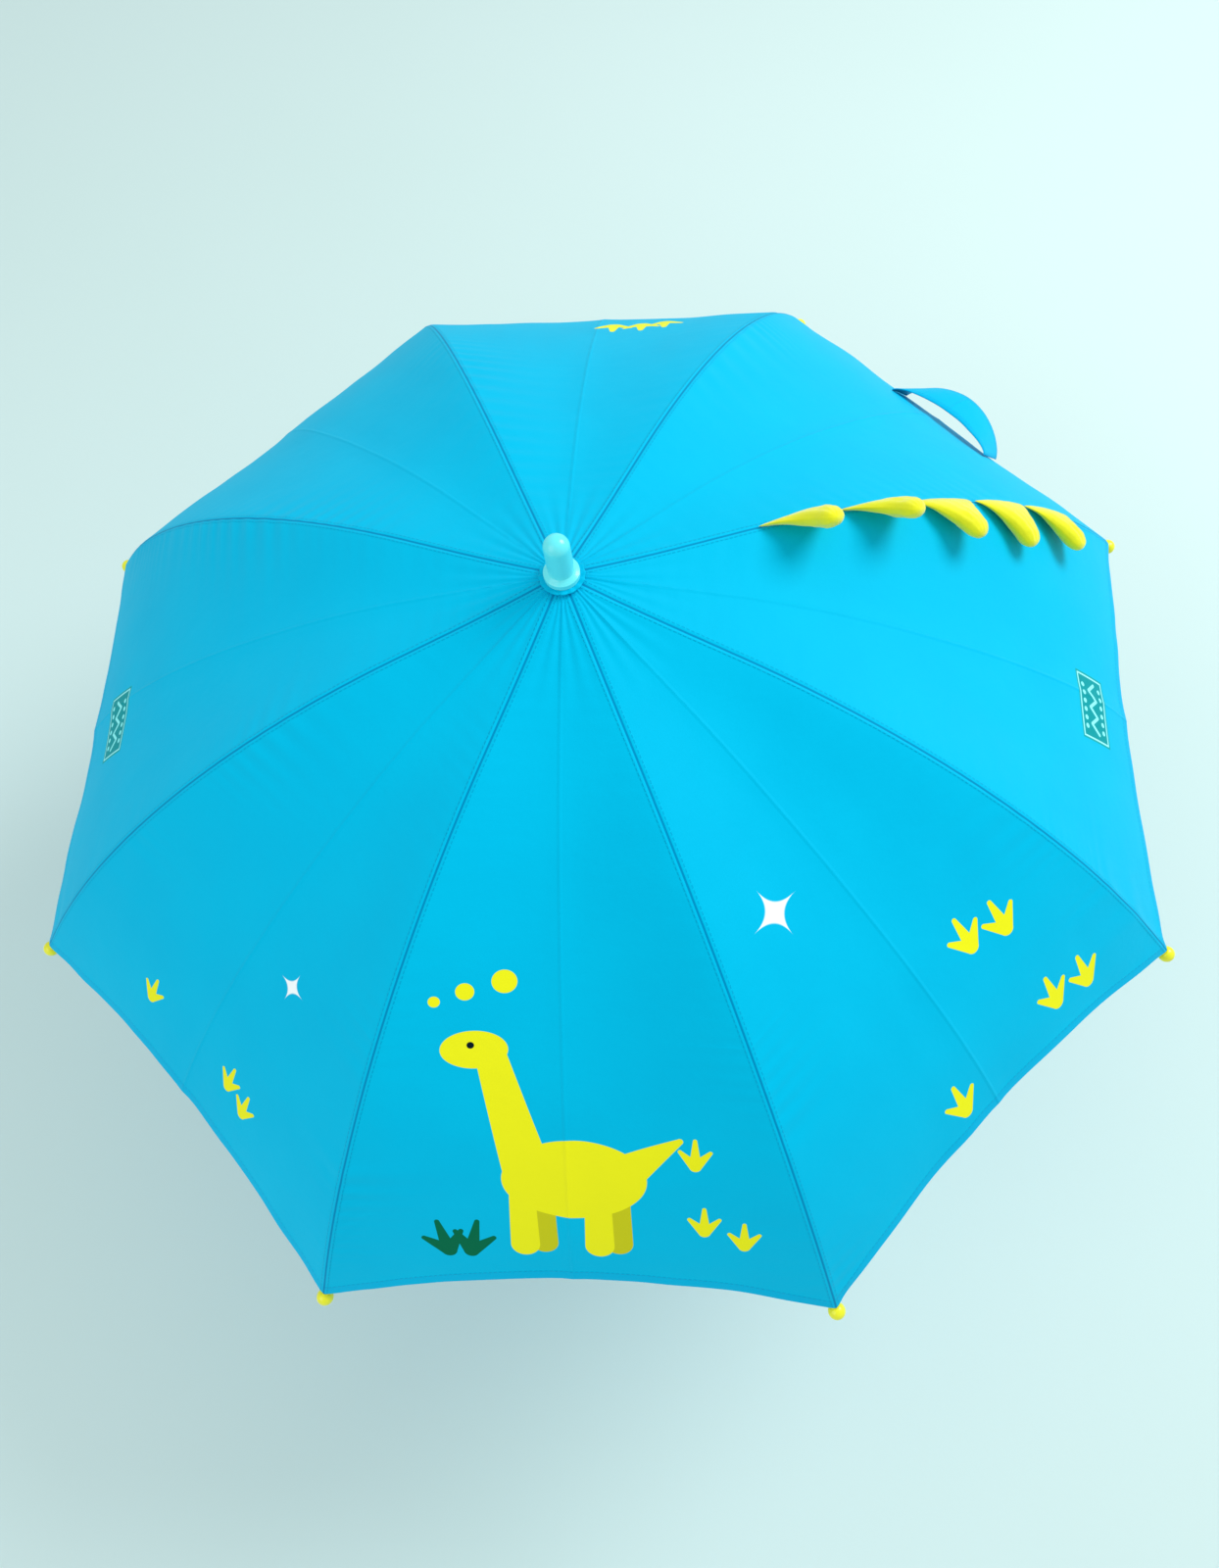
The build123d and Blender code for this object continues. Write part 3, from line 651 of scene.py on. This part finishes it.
def make_spike(number):
    """A stuffed fin: rings from its long sewn base, over the seam, to its fat round head."""
    start = SPIKE_STARTS[number] * CANOPY_RADIUS
    rings, sides = ((44, 56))
    crest, lean = 0.62 * SPIKE_LENGTH, math.radians(SPIKE_LEANS[number])
    verts, faces = [], []
    lifted, aside, step = 0.6 * MM, 0.0, SPIKE_HEIGHT / rings
    for i in range(rings + 1):
        t = i / rings
        swing = lean * min(1.0, 0.7 + 0.3 * t / 0.3)
        if i:
            lifted += step * math.cos(swing)
            aside -= step * math.sin(swing)
        back = crest * (1 - (1 - t) ** 1.35) - 8 * MM * t**3
        front = SPIKE_LENGTH + (crest + 8 * MM - SPIKE_LENGTH) * (1 - (1 - t) ** 1.7)
        dome = math.sqrt(max(0.0, 1 - max(0.0, (t - 0.74) / 0.26) ** 2))
        reach = max(0.05, dome) * (front - back) / 2
        thick = (1.6 + 4.9 * math.sin(min(1.0, t / 0.7) * math.pi / 2) ** 1.2) * MM * max(0.05, dome)
        for j in range(sides):
            a = math.tau * j / sides
            c, d = math.cos(a), math.sin(a)
            welt = 1 + 0.05 * math.exp(-((d / 0.13) ** 2))
            puff = math.copysign(abs(d) ** 0.85, d)
            tuck = 1 + 0.10 * wander(number, c * 2.5 + 5, t * 6) + 0.04 * math.sin(c * 14 + number)
            along = (back + front) / 2 + reach * c * welt
            out_of = thick * puff * tuck
            s = start + along
            lift = FABRIC_LIFT + lifted + out_of * math.sin(swing)
            out, high = (float(v) for v in rib_line(s, lift))
            verts.append(turned(azimuth(SPIKE_RIB), out, aside + out_of * math.cos(swing), high))
    for i in range(rings):
        for j in range(sides):
            k = (j + 1) % sides
            faces.append((i * sides + j, i * sides + k, (i + 1) * sides + k, (i + 1) * sides + j))
    faces.append(tuple(range(sides))[::-1])
    faces.append(tuple(rings * sides + j for j in range(sides)))
    spike = new_object(f"fin_{number + 1}", verts, faces, PLUSH)
    tidy_normals(spike)
    outer = number >= 3
    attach(spike, f"rib_end_{SPIKE_RIB + 1}" if outer else f"rib_{SPIKE_RIB + 1}")
    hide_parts("spikes_outer" if outer else "spikes_inner")


def tidy_normals(piece):
    """Turns a closed piece's faces outward."""
    work = bmesh.new()
    work.from_mesh(piece.data)
    bmesh.ops.recalc_face_normals(work, faces=work.faces)
    work.to_mesh(piece.data)
    work.free()


STRAP_ASIDE = -12 * MM
STRAP_SPAN = 92 * MM
STRAP_WIDTH = 35 * MM
STRAP_RISE = 19 * MM
STRAP_ABOVE_HEM = 30 * MM


def make_strap():
    """The tie strap: a doubled band sewn at its ends, bowed up off the cloth near the hem."""
    middle = azimuth(SPIKE_RIB + 0.5)
    level = RIB_LENGTH - HEM_RISE - STRAP_ABOVE_HEM
    slope = math.atan2(math.tan(float(rib_slope(level))), math.cos(HALF))
    out, up = (float(v) for v in rib_line(level, FABRIC_LIFT))
    origin = np.array([out * math.cos(HALF), STRAP_ASIDE, up])
    fall = np.array([math.cos(slope), 0.0, -math.sin(slope)])
    outward = np.array([math.sin(slope), 0.0, math.cos(slope)])
    columns, rows = 64, 14
    top, low, flat, edge = [], [], [], []
    for i in range(columns + 1):
        t = 2 * i / columns - 1
        rise = STRAP_RISE * (1 - t**2) ** 0.75 + 0.9 * MM
        for j in range(rows + 1):
            u = j / rows - 0.5
            narrow = 1 - 0.12 * (1 - t**2)
            cup = -1.4 * MM * (2 * u) ** 2 * (1 - t**2) + 0.5 * MM * wander(9, t * 3, u * 2)
            tilt = 0.5 * (1 - t**2)
            wide_at = u * STRAP_WIDTH * narrow
            at = origin + fall * (wide_at * math.cos(tilt))
            at[1] += t * STRAP_SPAN / 2
            drop = sag(level + wide_at, min(1, abs(at[1]) / (at[0] * math.tan(HALF))))
            at = at + outward * (rise + cup + drop + wide_at * math.sin(tilt))
            face = outward * 0.45 * MM
            top.append(turned(middle, *(at + face)))
            low.append(turned(middle, *(at - face)))
            flat.append((t * STRAP_SPAN / 2, 0.2 + u * STRAP_WIDTH))
            edge.append((0.05, STRAP_WIDTH * (0.5 - abs(u)) * 1.6))
    faces, _, _ = sheet_faces(columns, rows)
    strap = new_object("tie_band", top + low, faces, cloth_material("cloth_strap"))
    lay_coordinates(strap.data, flat, edge)
    tidy_normals(strap)
    number = SPIKE_RIB + 1
    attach(strap, f"rib_end_{number}")
    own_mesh(strap)
    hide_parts("tie_strap")


def make_rosette():
    """The small gathered disc of cloth under the ferrule."""
    low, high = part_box("rosette")
    radius, thick = (high.x - low.x) / 2, high.z - low.z
    inner = 4.2 * MM
    rings, sides = 10, 96
    verts, faces = [], []
    for face in (1, -1):
        for i in range(rings + 1):
            r = inner + (radius - inner) * i / rings
            for j in range(sides):
                a = math.tau * j / sides
                ripple = 0.35 * MM * math.sin(a * 16) * (i / rings) ** 2
                edge = r * (1 + 0.02 * math.sin(a * 16) * (i / rings))
                z = (low.z + high.z) / 2 + face * thick * 0.35 + ripple
                verts.append((edge * math.cos(a), edge * math.sin(a), z))
    layer = (rings + 1) * sides
    for i in range(rings):
        for j in range(sides):
            k = (j + 1) % sides
            quad = (i * sides + j, (i + 1) * sides + j, (i + 1) * sides + k, i * sides + k)
            faces.append(quad)
            faces.append(tuple(v + layer for v in quad)[::-1])
    for i in (0, rings):
        for j in range(sides):
            k = (j + 1) % sides
            faces.append((i * sides + j, i * sides + k, i * sides + k + layer, i * sides + j + layer))
    disc = new_object("rosette_cloth", verts, faces, cloth_material("cloth_rosette"))
    lay_coordinates(disc.data, [(x, y) for x, y, _ in verts], [(0.05, 0.05)] * len(verts))
    tidy_normals(disc)
    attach(disc, "shaft")
    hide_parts("rosette")


# ---------------------------------------------------------------- camera, light and floor


CAMERA_TURN, CAMERA_RISE, CAMERA_TIP = (math.radians(a) for a in (11.91, 66.31, -11.25))
CAMERA_LENS = 29.86
CAMERA_AWAY = 2.124 * CANOPY_RADIUS


def make_camera():
    """The view from above the front, a little to the right, tipped a little."""
    turn, rise, tip = CAMERA_TURN, CAMERA_RISE, CAMERA_TIP
    back = Vector((math.sin(turn) * math.cos(rise), -math.cos(turn) * math.cos(rise), math.sin(rise)))
    right = Vector((math.cos(turn), math.sin(turn), 0))
    up = back.cross(right)
    tips = float(rib_line(RIB_LENGTH)[1])
    aim = Vector((0, 0, tips + 0.2 * CANOPY_RADIUS))
    place = aim + back * CAMERA_AWAY + (right * 0.008 - up * 0.165) * CANOPY_RADIUS
    tipped_right = right * math.cos(tip) + up * math.sin(tip)
    tipped_up = up * math.cos(tip) - right * math.sin(tip)
    data = bpy.data.cameras.new("camera")
    data.sensor_width = 36.0
    data.lens = CAMERA_LENS
    camera = bpy.data.objects.new("camera", data)
    basis = Matrix((tipped_right, tipped_up, back)).transposed().to_4x4()
    camera.matrix_world = Matrix.Translation(place) @ basis
    bpy.context.scene.collection.objects.link(camera)
    bpy.context.scene.camera = camera


def make_light(name, place, size, power):
    """A round soft light, turned to the canopy's middle."""
    data = bpy.data.lights.new(name, "AREA")
    data.shape, data.size, data.energy = "DISK", size, power
    light = bpy.data.objects.new(name, data)
    towards = Vector((0, 0, 0.42)) - Vector(place)
    turned_to = towards.to_track_quat("-Z", "Y").to_matrix().to_4x4()
    light.matrix_world = Matrix.Translation(place) @ turned_to
    bpy.context.scene.collection.objects.link(light)


def make_studio():
    """Soft light from the upper right, a fill, a pale sky and a pale floor."""
    make_light("key", (1.7, 0.9, 2.0), 1.3, 42)
    make_light("fill", (-1.6, -1.4, 1.8), 2.2, 16)
    world = bpy.data.worlds.new("studio")
    world.use_nodes = True
    sky = world.node_tree.nodes["Background"]
    sky.inputs["Color"].default_value = (0.93, 0.97, 1.0, 1)
    sky.inputs["Strength"].default_value = 0.72
    bpy.context.scene.world = world
    g = Graph("floor")
    where = g.node("TexCoord").outputs["Object"]
    tone = g.noise(where, 1.5, 3.0)
    material = g.finish(
        Base_Color=g.mix(tone, rgb(0.80, 0.90, 0.88), rgb(0.82, 0.91, 0.90)), Roughness=0.85,
        Normal=g.bump(g.noise(where, 220.0), 0.2 * MM, 0.2),
    )
    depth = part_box("handle")[0].z - 1 * MM
    half = 6.0
    corners = [(-half, -half, depth), (half, -half, depth), (half, half, depth), (-half, half, depth)]
    new_object("floor", corners, [(0, 1, 2, 3)], material, smooth=False)
    bpy.context.scene.view_settings.view_transform = "Standard"


make_camera()
dress_cad_nodes()
make_canopy()
for number in range(len(SPIKE_STARTS)):
    make_spike(number)
make_strap()
make_rosette()
make_studio()

bpy.context.view_layer.update()
